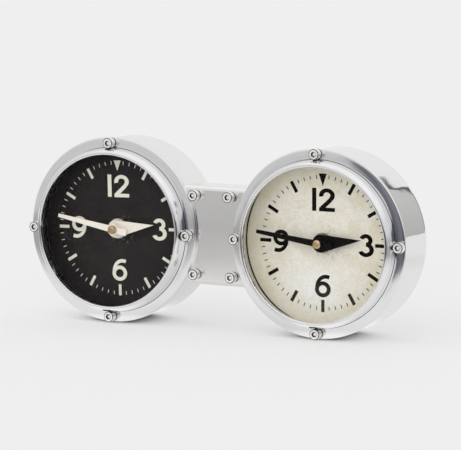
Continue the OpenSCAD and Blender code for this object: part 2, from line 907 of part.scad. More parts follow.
module bridge_block() {
    color(polished)
        difference() {
            bridge_bar();
            translate([-clock_spacing / 2, -bridge_h, -bridge_depth - 1])
                cube([clock_spacing, 2 * bridge_h, bridge_plate_t + 1]);
            translate([0, 0, -bridge_depth - 1])
                linear_extrude(bridge_depth + 1 - pocket_front)
                    rounded_square(pocket_w, pocket_h, pocket_round);
            bridge_screw_places()
                translate([0, 0, -bridge_depth - 1])
                    cylinder(d = screw_d + 2 * bolt_gap, h = bridge_depth + 2);
            for (side = [-1, 1])
                side_screw_places(side)
                    translate([0, 0, -clock_spacing / 2])
                        cylinder(d = screw_d + 2 * bolt_gap, h = clock_spacing / 2 + 1);
        }
}

module bridge_back_plate() {
    color(polished)
        difference() {
            intersection() {
                bridge_bar();
                translate([-clock_spacing / 2, -bridge_h, -bridge_depth - 1])
                    cube([clock_spacing, 2 * bridge_h, bridge_plate_t + 1]);
            }
            bridge_screw_places()
                translate([0, 0, -bridge_depth - 1])
                    cylinder(d = screw_d, h = bridge_depth + 2);
        }
}

module bridge_front_screws() {
    color(steel)
        bridge_screw_places()
            washer_screw(bridge_depth - bridge_screw_spare);
}

module bridge_side_screws() {
    color(steel)
        for (side = [-1, 1])
            side_screw_places(side)
                cap_screw(side_screw_len);
}

for (side = [-1, 1]) {
    clock = side < 0 ? "left_" : "right_";
    turn = side < 0 ? left_dial_turn : right_dial_turn;
    dial_tint = side < 0 ? ink : cream;
    hand_tint = side < 0 ? cream : ink;
    at_clock(side) case_shell(side);
    at_clock(side) bezel();
    at_clock(side) bezel_screws();
    at_clock(side) glass();
    at_clock(side) glass_gasket();
    at_clock(side) glass_ring();
    at_clock(side) dial(turn, dial_tint);
    at_clock(side) back_cover();
    at_clock(side) back_cover_screws();
    at_clock(side) movement_case();
    at_clock(side) movement_cover();
    at_clock(side) train_plate();
    at_clock(side) movement_seal();
    at_clock(side) shaft_washer();
    at_clock(side) shaft_nut();
    at_clock(side) cannon_pinion();
    at_clock(side) minute_wheel();
    at_clock(side) hour_wheel();
    at_clock(side) minute_hand(turn, hand_tint);
    at_clock(side) hour_hand(turn, hand_tint);
    at_clock(side) hand_cap();
    at_clock(side) setting_knob();
    at_clock(side) battery();
    at_clock(side) battery_contacts();
    at_clock(side) stepper_coil();
    at_clock(side) circuit_board();
}
at_middle() bridge_block();
at_middle() bridge_back_plate();
at_middle() bridge_front_screws();
at_middle() bridge_side_screws();
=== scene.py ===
"""Twin car clock: two round clocks with turned aluminium cases, joined by a bridge.

New pieces are drawn in millimetres in a clock's own frame (X right, Y up, Z out of the dial,
with Z = 0 at the front rim of the case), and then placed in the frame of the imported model, in
metres. Lengths are in millimetres in the outlines and in metres in materials and the studio.
"""

import math

import bmesh
import bpy
from mathutils import Matrix, Vector


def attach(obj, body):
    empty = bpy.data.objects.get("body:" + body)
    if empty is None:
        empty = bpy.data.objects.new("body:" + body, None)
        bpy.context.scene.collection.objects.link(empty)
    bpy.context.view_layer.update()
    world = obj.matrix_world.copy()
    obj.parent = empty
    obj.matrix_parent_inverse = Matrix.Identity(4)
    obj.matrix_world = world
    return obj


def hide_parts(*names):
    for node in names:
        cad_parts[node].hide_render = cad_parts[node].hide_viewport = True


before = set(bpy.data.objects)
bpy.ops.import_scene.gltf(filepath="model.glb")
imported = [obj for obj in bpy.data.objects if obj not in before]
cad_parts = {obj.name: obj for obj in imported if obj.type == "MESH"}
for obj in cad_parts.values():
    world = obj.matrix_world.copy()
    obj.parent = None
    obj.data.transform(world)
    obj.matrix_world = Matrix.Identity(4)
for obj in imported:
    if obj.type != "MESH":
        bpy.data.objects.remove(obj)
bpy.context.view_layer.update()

# Camera
CAMERA_AZIMUTH = math.radians(26.855)
CAMERA_ELEVATION = math.radians(6.900)
CAMERA_ROLL = math.radians(0.492)
CAMERA_DISTANCE = 2.1175
CAMERA_LENS = 257.99
CAMERA_SENSOR = 36.0
CAMERA_AIM = Vector((0.01081, -0.01182, 0.06855))

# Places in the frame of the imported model, in metres
CLOCK_X = 0.074
RIM_Y = -0.01145
AXIS_Z = 0.0605

# Heights along a clock's axis, in millimetres
LIP_TOP = 11.6
GLASS_FRONT = 9.9
RING_BACK = 6.3
FLANGE_FRONT = 3.0
CAP_BASE = 2.0
MINUTE_HAND_Z = 1.4
HOUR_HAND_Z = -2.1
DIAL_FACE = -5.3
STEP_TOP = -5.35
CHANNEL_FLOOR = -5.8
DIAL_LEDGE = -6.3
COVER_LEDGE = -31.5
CASE_BACK = -34.5

# Radii of the turned parts, in millimetres
FLANGE_RADIUS = 60.5
CASE_RADIUS = 59.5
SCREW_CIRCLE = 56.8
CASE_BORE = 54.1
GROOVE_RADIUS = 54.02
LIP_FOOT = 53.8
CHANNEL_RADIUS = 53.55
STEP_RADIUS = 53.15
SPIGOT_RADIUS = 53.0
LIP_CROWN = 50.6
GLASS_SEAT = 51.1
WINDOW_RADIUS = 49.5
LEDGE_RADIUS = 49.0

# Other sizes, in millimetres
GROOVE_DEPTH = 0.3
HAND_THICKNESS = 0.6
HAND_EDGE = 0.07
WASHER_THICKNESS = 1.4
HEAD_HEIGHT = 4.0
HEAD_RADIUS = 3.5
BEZEL_SCREW = 11.0
BRIDGE_SCREW = 21.5
PRINT_THICKNESS = 0.04
RUN_STEP = 0.004
STROKE_WIDTH = 2.35
TRIANGLE_BASE = 44.24
TICK_LENGTH = 2.4
MERGE = 0.0005
LATHE_STEPS = 256

# Angles, in degrees: edges sharper than the first two stay sharp, and those of a hand sharper
# than the third are softened
SHARP = 35.0
RIM_SHARP = 50.0
HAND_SHARP = 50.0
HOUR_ANGLE = 83.4

# What differs between the two clocks. Angles are in degrees, clockwise from 12. Shifts, turns and
# pockets of the screws are for 12, 3, 6 and 9 o'clock. An hour bar is x, y, width and height, a
# triangle half its width and its tip's height, a tick its width and its middle's height.
CLOCKS = {
    "left": {
        "x": -CLOCK_X,
        "dial_turn": -1.9,
        "minute_angle": 281.6,
        "minute_length": 41.6,
        "screw_lean": -0.56,
        "screw_shift": ((-0.7, 0.0), (-1.0, -0.9), (-0.5, 0.0), (0.5, -0.6)),
        "screw_turns": (12, 40, 25, 5),
        "pocket_radius": (4.2, 3.65, 5.7, 5.2),
        "print_size": 1.003,
        "print_shift": (0.4, 0.3),
        "bold": 0.0,
        "hour_bar": (0.0, 40.6, 2.0, 7.3),
        "triangle": (2.6, 37.4),
        "minute_tick": (0.42, 42.7),
        "hand_slot": "cream_hands",
        "shaft_washer": "steel",
    },
    "right": {
        "x": CLOCK_X,
        "dial_turn": -0.8,
        "minute_angle": 278.0,
        "minute_length": 44.1,
        "screw_lean": -0.81,
        "screw_shift": ((-0.4, 0.5), (0.6, 0.9), (0.0, -0.25), (-0.7, 0.6)),
        "screw_turns": (50, 8, 33, 20),
        "pocket_radius": (4.2, 4.5, 5.7, 5.2),
        "print_size": 1.0,
        "print_shift": (0.0, 0.0),
        "bold": 0.2,
        "hour_bar": (0.0, 40.35, 2.1, 7.7),
        "triangle": (2.8, 36.2),
        "minute_tick": (0.58, 42.1),
        "hand_slot": "black_hands",
        # The right clock's washer is a darker copy of steel, a painted shade
        "shaft_washer": "washer",
    },
}


def new_object(name, data):
    """An object at the origin, shown in the scene."""
    made = bpy.data.objects.new(name, data)
    bpy.context.scene.collection.objects.link(made)
    return made


def new_mesh(name, bm):
    """A mesh made of a bmesh, which is used up."""
    mesh = bpy.data.meshes.new(name)
    bm.to_mesh(mesh)
    bm.free()
    return mesh


def make_camera():
    data = bpy.data.cameras.new("camera")
    data.lens = CAMERA_LENS
    data.sensor_width = CAMERA_SENSOR
    data.sensor_fit = "HORIZONTAL"
    data.clip_start = 0.05
    data.clip_end = 60.0
    camera = new_object("camera", data)
    camera.matrix_world = (
        Matrix.Translation(CAMERA_AIM)
        @ Matrix.Rotation(CAMERA_AZIMUTH, 4, "Z")
        @ Matrix.Rotation(math.pi / 2 - CAMERA_ELEVATION, 4, "X")
        @ Matrix.Rotation(CAMERA_ROLL, 4, "Z")
        @ Matrix.Translation((0, 0, CAMERA_DISTANCE))
    )
    bpy.context.scene.camera = camera


# Placing


def clock_place(x):
    """From millimetres in a clock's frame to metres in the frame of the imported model."""
    upright = Matrix.Rotation(math.pi / 2, 4, "X")
    return Matrix.Translation((x, RIM_Y, AXIS_Z)) @ upright @ Matrix.Scale(0.001, 4)


def clockwise(degrees):
    return Matrix.Rotation(-math.radians(degrees), 4, "Z")


def finish_piece(name, bm, place, finishes, body, replaces, sharp=SHARP, weighted=True):
    """Puts a piece drawn in millimetres in place, gives it its finishes and lets it ride."""
    bmesh.ops.remove_doubles(bm, verts=bm.verts, dist=MERGE)
    bmesh.ops.transform(bm, matrix=place, verts=bm.verts)
    bmesh.ops.recalc_face_normals(bm, faces=bm.faces)
    mesh = new_mesh(name, bm)
    mesh.shade_smooth()
    mesh.set_sharp_from_angle(angle=math.radians(sharp))
    for finish in finishes:
        mesh.materials.append(finish)
    piece = new_object(name, mesh)
    if weighted:
        piece.modifiers.new("flat faces", "WEIGHTED_NORMAL").keep_sharp = True
    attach(piece, body)
    if replaces:
        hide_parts(*replaces)


def dress(node, material):
    """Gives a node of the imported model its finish."""
    for material_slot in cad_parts[node].material_slots:
        material_slot.material = material


# Outlines


class Outline:
    """A line drawn in the plane of X and Y, in millimetres, to be spun or extruded."""

    def __init__(self, x, y, rounding=0.0):
        self.bm = bmesh.new()
        self.corners = []
        self.first = self.tip = self.bm.verts.new((x, y, 0))
        self.mark(rounding)

    def mark(self, rounding):
        if rounding:
            self.corners.append((self.tip, rounding))

    def line(self, *points):
        """Straight runs to points of x, y and, where the corner is rounded, its rounding."""
        for x, y, *rounding in points:
            corner = self.bm.verts.new((x, y, 0))
            self.bm.edges.new((self.tip, corner))
            self.tip = corner
            self.mark(rounding[0] if rounding else 0)
        return self

    def arc(self, x, y, degrees, steps, stretch=1.0):
        """An arc round x, y, counterclockwise, stretched up and down about its centre."""
        before = set(self.bm.verts)
        swept = bmesh.ops.spin(
            self.bm,
            geom=[self.tip],
            cent=(x, y, 0),
            axis=(0, 0, 1),
            dvec=(0, 0, 0),
            angle=math.radians(degrees),
            steps=steps,
            use_duplicate=False,
        )
        self.tip = [v for v in swept["geom_last"] if isinstance(v, bmesh.types.BMVert)][0]
        new = [v for v in self.bm.verts if v not in before]
        centre = Matrix.Translation((-x, -y, 0))
        bmesh.ops.scale(self.bm, vec=(1.0, stretch, 1.0), space=centre, verts=new)
        return self

    def close(self):
        self.bm.edges.new((self.tip, self.first))
        for corner, rounding in self.corners:
            round_off(self.bm, [corner], rounding, 5, "VERTICES")
        return self.bm

    def turned(self, steps=LATHE_STEPS):
        """Spun round the axis: X is the radius and Y the height along the axis."""
        bm = self.close()
        on_edge = Matrix.Rotation(math.pi / 2, 3, "X")
        bmesh.ops.rotate(bm, cent=(0, 0, 0), matrix=on_edge, verts=bm.verts)
        bmesh.ops.spin(
            bm,
            geom=bm.verts[:] + bm.edges[:],
            cent=(0, 0, 0),
            axis=(0, 0, 1),
            angle=2 * math.pi,
            steps=steps,
            use_merge=True,
        )
        return bm

    def filled(self):
        bm = self.close()
        bmesh.ops.contextual_create(bm, geom=bm.edges[:])
        return bm


def round_off(bm, geom, width, segments, affect):
    """Rounds corners, where affect is VERTICES, or edges, where it is EDGES."""
    bmesh.ops.bevel(
        bm,
        geom=geom,
        offset=width,
        offset_type="OFFSET",
        segments=segments,
        profile=0.5,
        affect=affect,
        material=-1,
        clamp_overlap=affect == "EDGES",
    )


def raise_plate(bm, z, thickness):
    """Extrudes flat faces into a plate that starts at z."""
    grown = bmesh.ops.extrude_face_region(bm, geom=bm.faces[:], use_keep_orig=True)
    verts = [v for v in grown["geom"] if isinstance(v, bmesh.types.BMVert)]
    bmesh.ops.translate(bm, vec=(0, 0, thickness), verts=verts)
    bmesh.ops.translate(bm, vec=(0, 0, z), verts=bm.verts)
    return bm


def hand_plate(outline, z, thickness):
    """A hand's part, stamped from sheet: a plate with its sharp edges softened."""
    bm = raise_plate(outline.filled(), z, thickness)
    sharp = math.radians(HAND_SHARP)
    edges = [e for e in bm.edges if len(e.link_faces) == 2 and e.calc_face_angle() > sharp]
    round_off(bm, edges, HAND_EDGE, 2, "EDGES")
    return bm


def joined(*parts):
    """One bmesh holding copies of the others, which are used up."""
    whole = bmesh.new()
    for part in parts:
        mesh = new_mesh("part", part)
        whole.from_mesh(mesh)
        bpy.data.meshes.remove(mesh)
    return whole


def moved(bm, matrix):
    bmesh.ops.transform(bm, matrix=matrix, verts=bm.verts)
    return bm


def cut_from(bm, cutter):
    """A bmesh with another cut from it; the cut faces get the second finish."""
    for face in cutter.faces:
        face.material_index = 1
    pair = []
    for part in (bm, cutter):
        bmesh.ops.recalc_face_normals(part, faces=part.faces)
        pair.append(new_object("part", new_mesh("part", part)))
    whole, tool = pair
    cut = whole.modifiers.new("cut", "BOOLEAN")
    cut.operation = "DIFFERENCE"
    cut.solver = "EXACT"
    cut.object = tool
    worked = whole.evaluated_get(bpy.context.evaluated_depsgraph_get())
    left = bmesh.new()
    left.from_mesh(worked.to_mesh())
    worked.to_mesh_clear()
    for part in pair:
        mesh = part.data
        bpy.data.objects.remove(part)
        bpy.data.meshes.remove(mesh)
    return left


# Case and bezel


def case_outline():
    """The drum's wall, with the dial's ledge, the painted step and channel round the dial, and
    the ledge of the back cover. Its rear end rounds in."""
    inset, length = 1.4, 4.5
    outline = Outline(LEDGE_RADIUS, DIAL_LEDGE, 0.2)
    outline.line((STEP_RADIUS, DIAL_LEDGE), (STEP_RADIUS, STEP_TOP), (CHANNEL_RADIUS, STEP_TOP))
    outline.line((CHANNEL_RADIUS, CHANNEL_FLOOR), (CASE_BORE, CHANNEL_FLOOR), (CASE_BORE, 0.0, 0.2))
    outline.line((CASE_RADIUS, 0.0, 0.2), (CASE_RADIUS, CASE_BACK + length))
    outline.arc(CASE_RADIUS - inset, CASE_BACK + length, -90.0, 12, length / inset)
    outline.line((CASE_BORE, CASE_BACK, 0.3), (CASE_BORE, COVER_LEDGE))
    outline.line((LEDGE_RADIUS, COVER_LEDGE, 0.2))
    return outline


def case_drum():
    """The drum; the step round the dial has the dial's paint and the channel outside is black, a
    painted shadow.
    """
    near = 0.05
    bm = case_outline().turned()
    for face in bm.faces:
        middle = face.calc_center_median()
        round_dial = DIAL_LEDGE - near < middle.z < STEP_TOP + near
        if round_dial and middle.xy.length < CASE_BORE - near:
            # The ledge, the step's side and the channel get black, a painted shadow in the gap
            # round the dial
            face.material_index = 2 if middle.z > STEP_TOP - near else 1
    return bm


def bezel_outline():
    """Flange with a slight crown, groove, lip with an elliptical outside, and the glass's seat."""
    groove_floor = FLANGE_FRONT - GROOVE_DEPTH
    spring = FLANGE_FRONT + 0.15
    outline = Outline(SPIGOT_RADIUS, 0.0, 0.15)
    outline.line((FLANGE_RADIUS, 0.0, 0.2), (FLANGE_RADIUS, 2.72, 0.7), (58.6, 2.90), (56.8, 2.98))
    outline.line((55.2, FLANGE_FRONT), (GROOVE_RADIUS, FLANGE_FRONT))
    outline.line((GROOVE_RADIUS, groove_floor), (LIP_FOOT, groove_floor), (LIP_FOOT, spring))
    outline.arc(LIP_CROWN, spring, 90.0, 18, (LIP_TOP - spring) / (LIP_FOOT - LIP_CROWN))
    outline.arc(LIP_CROWN, LIP_TOP - (LIP_CROWN - WINDOW_RADIUS), 90.0, 8)
    outline.line((WINDOW_RADIUS, GLASS_FRONT, 0.1), (GLASS_SEAT, GLASS_FRONT))
    outline.line((GLASS_SEAT, RING_BACK, 0.1))
    return outline


def screw_place(side, quarter):
    """Where a screw stands on the flange, off its even place as the real one is."""
    clock = CLOCKS[side]
    shift = Matrix.Translation((*clock["screw_shift"][quarter], FLANGE_FRONT))
    turn = clockwise(90 * quarter + clock["screw_lean"])
    return shift @ turn @ Matrix.Translation((0, SCREW_CIRCLE, 0))


def bezel_ring(side):
    """The bezel, with a groove and the screw heads' pockets at the foot of its lip, both black as
    painted shadow.
    """
    narrow, depth, clear = 3.95, 8.0, 0.04
    pockets = []
    for quarter, wide in enumerate(CLOCKS[side]["pocket_radius"]):
        pocket = bmesh.new()
        bmesh.ops.create_cone(
            pocket, cap_ends=True, segments=64, radius1=min(narrow, wide), radius2=wide, depth=depth
        )
        bmesh.ops.translate(pocket, vec=(0, 0, depth / 2 + clear), verts=pocket.verts)
        pockets.append(moved(pocket, screw_place(side, quarter)))
    # The pockets' cut walls get the black of painted shadow
    bm = cut_from(bezel_outline().turned(), joined(*pockets))
    # The groove's faces get the black of painted shadow
    for face in bm.faces:
        middle = face.calc_center_median()
        sunk = FLANGE_FRONT - middle.z
        if abs(middle.xy.length - GROOVE_RADIUS) < 0.3 and 0.1 < sunk < GROOVE_DEPTH + 0.1:
            face.material_index = 1
    return bm


# Screws


def grow(bm, ring, ratio, drop):
    """Extrudes a ring of edges, scales it about the axis and drops it; returns the new ring."""
    grown = bmesh.ops.extrude_edge_only(bm, edges=ring)["geom"]
    verts = [g for g in grown if isinstance(g, bmesh.types.BMVert)]
    bmesh.ops.scale(bm, vec=(ratio, ratio, 1.0), verts=verts)
    bmesh.ops.translate(bm, vec=(0, 0, -drop), verts=verts)
    return [g for g in grown if isinstance(g, bmesh.types.BMEdge)]


def screw(length, turn):
    """Socket head cap screw on a washer, seated at z = 0. Its finishes are steel, a painted shade
    on the head's edge, painted shadow black in the socket and under the washer, and a painted
    highlight on the bottom of the socket."""
    sides = 48
    top = WASHER_THICKNESS + HEAD_HEIGHT
    socket_radius, face_radius, shank = 1.7, 2.95, 1.95
    bm = bmesh.new()
    corner = socket_radius / math.cos(math.radians(30))
    bmesh.ops.create_circle(bm, segments=6, radius=corner, cap_ends=False)
    bmesh.ops.subdivide_edges(bm, edges=bm.edges[:], cuts=sides // 6 - 1)
    socket = bm.edges[:]
    rim = bmesh.ops.create_circle(bm, segments=sides, radius=face_radius, cap_ends=False)["verts"]
    ring = list({e for v in rim for e in v.link_edges})
    bmesh.ops.translate(bm, vec=(0, 0, top), verts=bm.verts)
    bmesh.ops.bridge_loops(bm, edges=socket + ring)
    radius, height = face_radius, top
    for new_radius, new_height in (
        (3.28, top - 0.12),
        (3.46, top - 0.34),
        (HEAD_RADIUS, top - 0.6),
        (HEAD_RADIUS, WASHER_THICKNESS + 0.12),
        (3.38, WASHER_THICKNESS),
        (3.3, WASHER_THICKNESS - 0.02),
        (3.3, 0.55),
        (3.4, 0.5),
        (3.4, 0.0),
        (shank, 0.0),
        (shank, -length),
    ):
        ring = grow(bm, ring, new_radius / radius, height - new_height)
        radius, height = new_radius, new_height
    bmesh.ops.contextual_create(bm, geom=ring)
    for ratio, drop in ((0.94, 0.14), (1.0, 1.5), (0.72, -0.35), (0.5, -0.35)):
        socket = grow(bm, socket, ratio, drop)
    bmesh.ops.contextual_create(bm, geom=socket)
    # Painted shade on the head's edge, painted shadow in the socket and at the washer's foot, and a
    # painted highlight on the socket's bottom
    for face in bm.faces:
        middle = face.calc_center_median()
        across = middle.xy.length
        in_socket = 1.5 < across < 1.95 and top - 1.6 < middle.z < top - 0.05
        under_head = across > 3.0 and middle.z < 0.53
        if face_radius < across < 3.47 and middle.z > top - 0.4:
            face.material_index = 1
        elif under_head or in_socket:
            face.material_index = 2
        elif across < 1.5 and middle.z > 1.0:
            face.material_index = 3
    return moved(bm, clockwise(turn))


def bezel_screws(side):
    """Four screws on the bezel, each with its socket at the turn it was tightened to."""
    parts = []
    for quarter, turn in enumerate(CLOCKS[side]["screw_turns"]):
        parts.append(moved(screw(BEZEL_SCREW, turn), screw_place(side, quarter)))
    return joined(*parts)


def bridge_screws():
    """Four screws on the front of the bridge, each at its x and y with its socket's turn."""
    parts = []
    for x, y, turn in ((-14.5, 25.9, 10), (10.6, 26.1, 42), (-13.8, -25.3, 27), (12.9, -25.6, 3)):
        parts.append(moved(screw(BRIDGE_SCREW, turn), Matrix.Translation((x, y, 0))))
    return joined(*parts)


# Hands


def hour_hand():
    """A round hub whose sides run straight to the tip."""
    hub, length = 5.7, 28.5
    lean = math.degrees(math.acos(hub / length))
    left = math.radians(90 + lean)
    outline = Outline(0.0, length)
    outline.line((hub * math.cos(left), hub * math.sin(left)))
    outline.arc(0, 0, 360 - 2 * lean, 64)
    return hand_plate(outline, HOUR_HAND_Z, HAND_THICKNESS)


def minute_hand(side):
    """A tapered blade with a tail, on a round hub a little thinner than the blade."""
    root, tip, tail, tail_width, hub = 2.2, 1.15, 10.0, 2.05, 4.0
    length = CLOCKS[side]["minute_length"]
    blade = Outline(-tip, length, 0.1)
    blade.line((-root, 0.0), (-tail_width, -tail, 0.1), (tail_width, -tail, 0.1))
    blade.line((root, 0.0), (tip, length, 0.1))
    disc = Outline(hub, 0.0)
    disc.arc(0, 0, 355.0, 71)
    return joined(
        hand_plate(blade, MINUTE_HAND_Z, HAND_THICKNESS),
        hand_plate(disc, MINUTE_HAND_Z + 0.01, HAND_THICKNESS - 0.03),
    )


def hand_cap():
    """A domed cap; the bevel round its top has a painted highlight of pale brass."""
    outline = Outline(0.0, CAP_BASE)
    outline.line((2.65, CAP_BASE, 0.1), (2.65, CAP_BASE + 2.2, 0.3), (2.25, CAP_BASE + 2.9, 0.2))
    outline.line((1.2, CAP_BASE + 3.12), (0.0, CAP_BASE + 3.2))
    bm = outline.turned(96)
    for face in bm.faces:
        middle = face.calc_center_median()
        if 2.2 < middle.xy.length < 2.62 and middle.z > CAP_BASE + 2.1:
            face.material_index = 1
    return bm


# Print on the dials


def strip(width, height):
    """A flat rectangle round the origin."""
    bm = bmesh.new()
    bmesh.ops.create_grid(bm, x_segments=1, y_segments=1, size=0.5)
    bmesh.ops.scale(bm, vec=(width, height, 1), verts=bm.verts)
    return bm


def bar(x, y, width, height, bold):
    """An upright bar round x, y, with rounded corners."""
    bm = strip(width + bold, height + bold)
    round_off(bm, bm.verts[:], 0.3, 3, "VERTICES")
    bmesh.ops.translate(bm, vec=(x, y, 0), verts=bm.verts)
    return bm


def bowl(x, y, across, up, start, sweep, bold):
    """A round stroke about x, y, from the start through the sweep, in degrees counterclockwise."""
    half = (STROKE_WIDTH + bold) / 2
    bm = bmesh.new()
    ends = [bm.verts.new((up + edge * half, 0, 0)) for edge in (-1, 1)]
    bmesh.ops.spin(
        bm,
        geom=ends + [bm.edges.new(ends)],
        cent=(0, 0, 0),
        axis=(0, 0, 1),
        angle=math.radians(sweep),
        steps=max(6, int(abs(sweep) / 6)),
        use_merge=abs(sweep) == 360,
    )
    turn = Matrix.Rotation(math.radians(start), 3, "Z")
    bmesh.ops.rotate(bm, cent=(0, 0, 0), matrix=turn, verts=bm.verts)
    bmesh.ops.scale(bm, vec=(across / up, 1, 1), verts=bm.verts)
    bmesh.ops.translate(bm, vec=(x, y, 0), verts=bm.verts)
    return bm


def numeral(bold, *runs):
    """Bowls and bars, each given by its values. Each run is a step thicker than the one before,
    so that no two faces coincide where runs cross. Bold is added to every width."""
    parts = []
    for index, run in enumerate(runs):
        drawn = bar(*run, bold) if len(run) == 4 else bowl(*run, bold)
        parts.append(raise_plate(drawn, 0, PRINT_THICKNESS + index * RUN_STEP))
    return joined(*parts)


def slanted_bar(x0, y0, x1, y1, width):
    """A bar from one point to another, thicker than the runs that it crosses."""
    flat = strip(math.hypot(x1 - x0, y1 - y0), width)
    bm = raise_plate(flat, 0, PRINT_THICKNESS + 3 * RUN_STEP)
    middle = Matrix.Translation(((x0 + x1) / 2, (y0 + y1) / 2, 0))
    return moved(bm, middle @ Matrix.Rotation(math.atan2(y1 - y0, x1 - x0), 4, "Z"))


def six(bold):
    """A 6 drawn round its own centre."""
    return numeral(bold, (0.0, -2.2, 4.15, 3.85, 0, 360), (2.2, -1.05, 6.35, 7.05, 180, -112))


def dial_print(side):
    """The figures 12, 3, 6 and 9, the triangle at 12, hour bars and minute marks."""
    clock = CLOCKS[side]
    bold = clock["bold"]
    upside_down = Matrix.Rotation(math.pi, 4, "Z")
    parts = [
        numeral(bold, (-6.0, 27.6, 2.8, 14.5)),
        numeral(bold, (2.9, 30.4, 3.95, 3.2, 195, -242), (2.95, 21.35, 10.9, 2.35)),
        slanted_bar(5.75, 27.9, -1.0, 21.9, 2.6 + bold),
        numeral(bold, (30.0, 3.12, 3.15, 2.72, 160, -250), (30.0, -2.9, 4.0, 3.3, 90, -250)),
        moved(six(bold), Matrix.Translation((0, -27.45, 0))),
        moved(six(bold), Matrix.Translation((-29.4, -0.2, 0)) @ upside_down),
    ]
    half, tip = clock["triangle"]
    triangle = Outline(-half, TRIANGLE_BASE).line((0.0, tip), (half, TRIANGLE_BASE))
    parts.append(raise_plate(triangle.filled(), 0, PRINT_THICKNESS))
    for hour in range(1, 12):
        parts.append(moved(numeral(bold, clock["hour_bar"]), clockwise(30 * hour)))
    width, middle = clock["minute_tick"]
    out = Matrix.Translation((0, middle, 0))
    for minute in range(60):
        if minute % 5:
            tick = raise_plate(strip(width, TICK_LENGTH), 0, PRINT_THICKNESS)
            parts.append(moved(tick, clockwise(6 * minute) @ out))
    size = Matrix.Diagonal((clock["print_size"], clock["print_size"], 1, 1))
    shift = Matrix.Translation((*clock["print_shift"], DIAL_FACE))
    return moved(joined(*parts), shift @ clockwise(clock["dial_turn"]) @ size)


# Node helpers

# Sockets of the Mix node when it mixes colours
MIX_FACTOR, MIX_FIRST, MIX_SECOND, MIX_RESULT = 0, 6, 7, 2


def feed(tree, sockets, values):
    """Links each value that is a socket, and sets the others."""
    for key, value in values.items():
        if isinstance(value, bpy.types.NodeSocket):
            tree.links.new(value, sockets[key])
        else:
            sockets[key].default_value = value


def add(tree, kind, inputs=None, **settings):
    """A node with its settings and what feeds it."""
    node = tree.nodes.new(kind)
    for key, value in settings.items():
        setattr(node, key, value)
    feed(tree, node.inputs, inputs or {})
    return node


def maths(tree, operation, *values):
    return add(tree, "ShaderNodeMath", dict(enumerate(values)), operation=operation).outputs[0]


def total(tree, first, *others):
    for other in others:
        first = maths(tree, "ADD", first, other)
    return first


def product(tree, first, *others):
    for other in others:
        first = maths(tree, "MULTIPLY", first, other)
    return first


def spread(tree, value, low, high, to_low=0.0, to_high=1.0, curve="SMOOTHSTEP"):
    """The value mapped from low..high to to_low..to_high."""
    ends = {"From Min": low, "From Max": high, "To Min": to_low, "To Max": to_high}
    node = add(tree, "ShaderNodeMapRange", {"Value": value, **ends}, interpolation_type=curve)
    return node.outputs["Result"]


def blend_colours(tree, factor, first, second, kind="MIX"):
    """Two colours mixed; each is a socket or its red, green and blue."""
    inputs = {MIX_FACTOR: factor}
    for key, colour in ((MIX_FIRST, first), (MIX_SECOND, second)):
        inputs[key] = colour if isinstance(colour, bpy.types.NodeSocket) else (*colour, 1.0)
    return add(tree, "ShaderNodeMix", inputs, data_type="RGBA", blend_type=kind).outputs[MIX_RESULT]


def noise_value(tree, vector, scale, detail=3.0, roughness=0.5, distortion=0.0):
    inputs = {"Vector": vector, "Scale": scale, "Detail": detail, "Roughness": roughness}
    return add(tree, "ShaderNodeTexNoise", {**inputs, "Distortion": distortion}).outputs["Fac"]


def bump(tree, strength, distance, height, **under):
    inputs = {"Strength": strength, "Distance": distance, "Height": height, **under}
    return add(tree, "ShaderNodeBump", inputs).outputs["Normal"]


def components(tree, vector):
    return add(tree, "ShaderNodeSeparateXYZ", {0: vector}).outputs


def grey(tree, level):
    return add(tree, "ShaderNodeCombineXYZ", {0: level, 1: level, 2: level}).outputs[0]


def vector_length(tree, vector):
    return add(tree, "ShaderNodeVectorMath", {0: vector}, operation="LENGTH").outputs["Value"]


def axis_distance(tree, vector):
    """How far a point is from the Y axis."""
    inputs = {0: vector, 1: (1.0, 0.0, 1.0)}
    level = add(tree, "ShaderNodeVectorMath", inputs, operation="MULTIPLY").outputs[0]
    return vector_length(tree, level)


def mix_shaders(tree, factor, first, second):
    return add(tree, "ShaderNodeMixShader", {0: factor, 1: first, 2: second}).outputs[0]


# Shared effects


def new_group(name, settings, outputs):
    """A node group that takes a Vector and its settings, each with a default number. It puts out
    numbers and, under the name Normal, a vector. Returns its tree, its inputs and its outputs."""
    tree = bpy.data.node_groups.new(name, "ShaderNodeTree")
    add_socket = tree.interface.new_socket
    add_socket(name="Vector", in_out="INPUT", socket_type="NodeSocketVector")
    for setting, default in settings.items():
        made = add_socket(name=setting, in_out="INPUT", socket_type="NodeSocketFloat")
        made.default_value = default
    for output in outputs:
        kind = "NodeSocketVector" if output == "Normal" else "NodeSocketFloat"
        add_socket(name=output, in_out="OUTPUT", socket_type=kind)
    return tree, add(tree, "NodeGroupInput").outputs, add(tree, "NodeGroupOutput").inputs


def turning_marks_group():
    """Fine rings left by a lathe round the Y axis, with slow waves and smudges in the polish."""
    tree, given, result = new_group(
        "turning marks",
        {"Ring Scale": 9000.0, "Ring Depth": 0.1, "Wave Scale": 60.0, "Wave Depth": 0.2},
        ("Rings", "Smudge", "Normal"),
    )
    vector = given["Vector"]
    outward = total(tree, axis_distance(tree, vector), components(tree, vector)["Y"])
    inputs = {"W": product(tree, outward, given["Ring Scale"]), "Scale": 1.0, "Detail": 3.0}
    rings = add(tree, "ShaderNodeTexNoise", inputs, noise_dimensions="1D").outputs["Fac"]
    waves = noise_value(tree, vector, given["Wave Scale"], 1.0)
    smudge = noise_value(tree, vector, product(tree, given["Wave Scale"], 3.0), 6.0, 0.62, 0.3)
    wavy = bump(tree, given["Wave Depth"], 0.002, waves)
    ringed = bump(tree, given["Ring Depth"], 0.0001, rings, Normal=wavy)
    feed(tree, result, {"Rings": rings, "Smudge": smudge, "Normal": ringed})
    return tree


